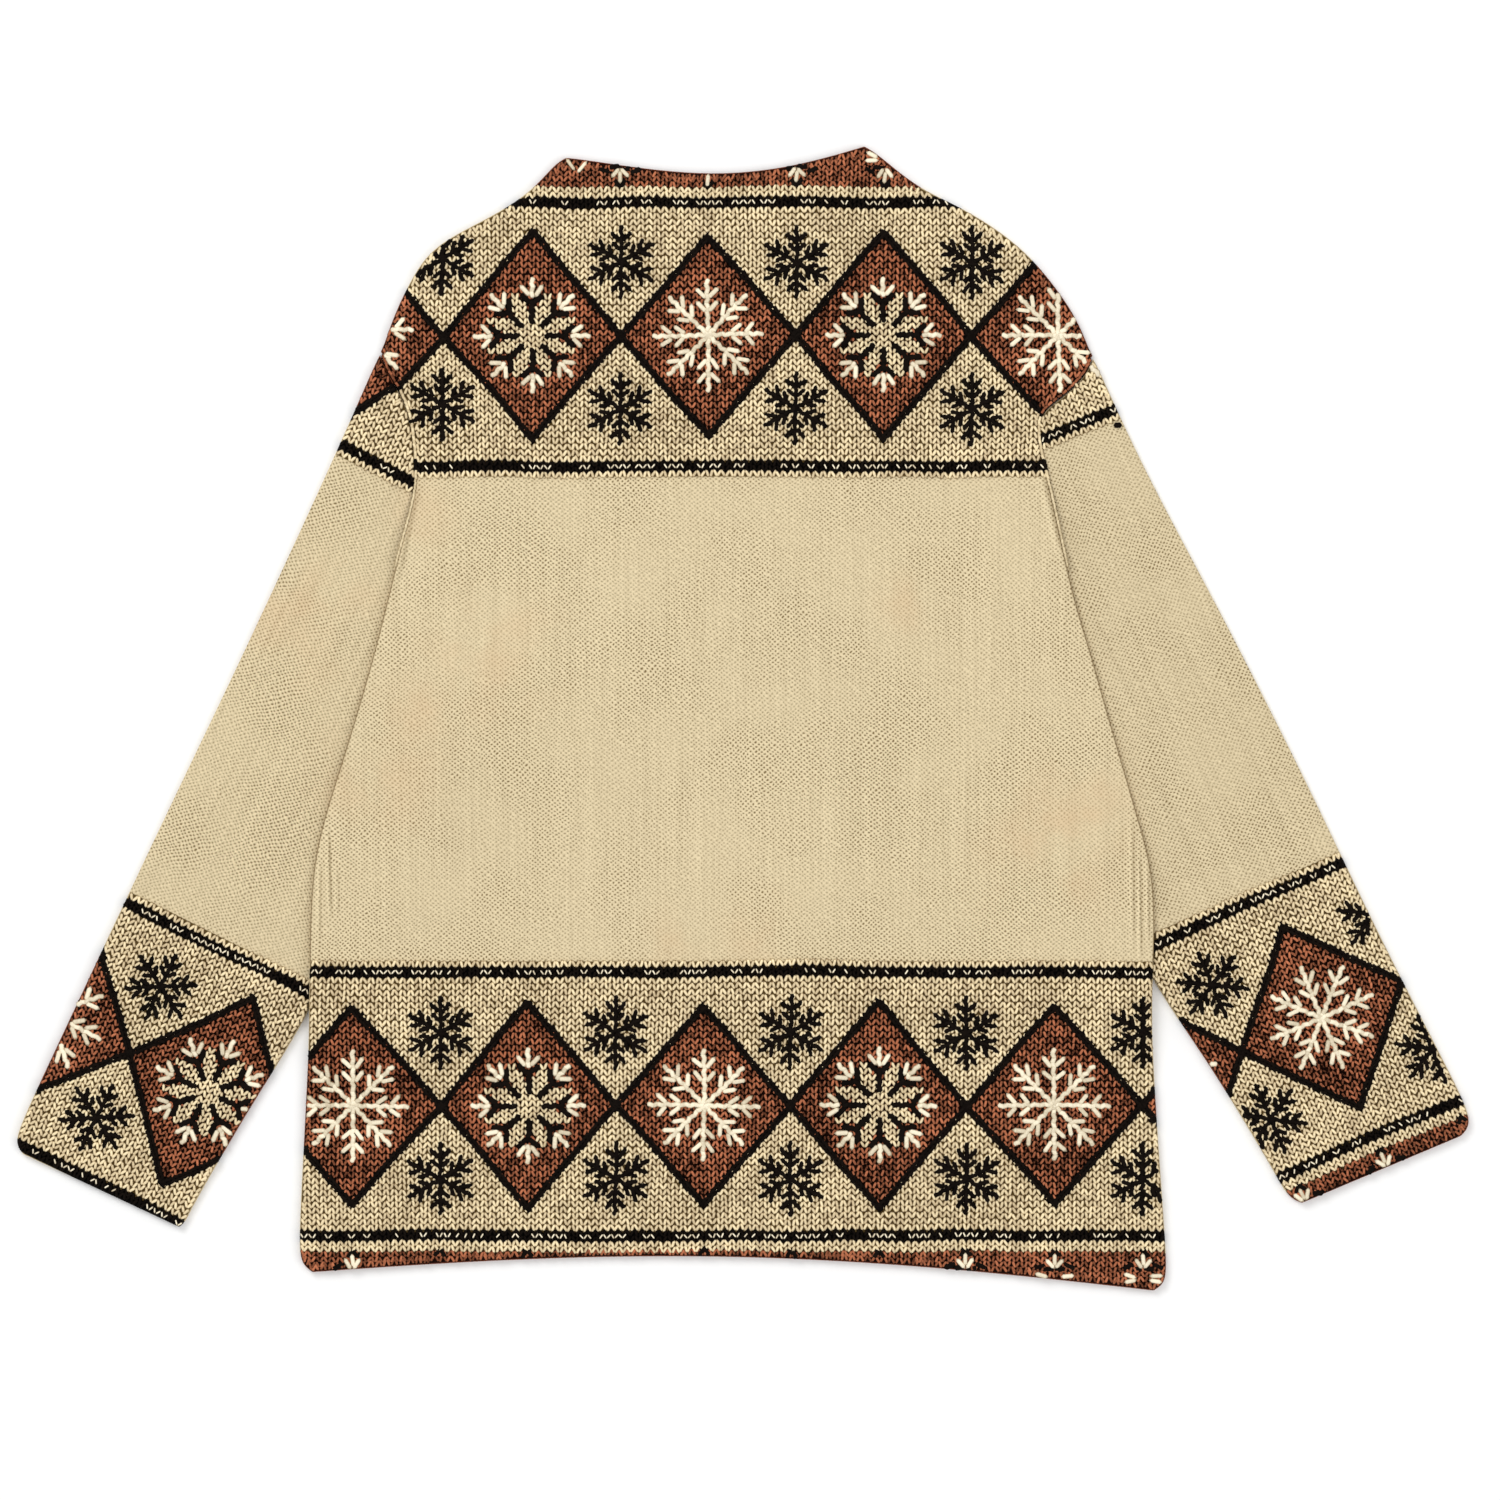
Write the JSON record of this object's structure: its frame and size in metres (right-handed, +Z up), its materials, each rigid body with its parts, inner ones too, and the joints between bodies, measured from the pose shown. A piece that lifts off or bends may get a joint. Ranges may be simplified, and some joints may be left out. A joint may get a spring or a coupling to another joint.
{
  "type": "fair isle cardigan",
  "caption": "Fair isle cardigan laid flat, back side up: back with a grown-on neck stand, fronts under it, sleeves slanting down beside it.",
  "frame": {"origin": "centre of the flat garment's outline, at the level of the surface it lies on", "axes": "+X across the garment from its sleeve at the left of the view to the other, +Y towards the neck, +Z up out of the surface"},
  "size_m": [0.8728, 0.6862, 0.0089],
  "materials": {
    "oatmeal_knit": "fine oatmeal stockinette knit, matt, faint vertical wales and a little tonal mottling",
    "band_knit": "chunkier oatmeal stockinette of the fair isle bands, matt, with dark gaps between its stitches",
    "black_yarn": "black wool yarn of the outlines, stripes and snowflakes, matt",
    "cream_yarn": "light cream wool yarn of the stars, matt",
    "rust_yarn": "rust brown wool yarn of the diamonds and borders, matt"
  },
  "bodies": {
    "root": {"back": "oatmeal_knit", "front_left": "oatmeal_knit", "front_right": "oatmeal_knit", "sleeve_left": "oatmeal_knit", "sleeve_right": "oatmeal_knit"}
  },
  "joints": []
}
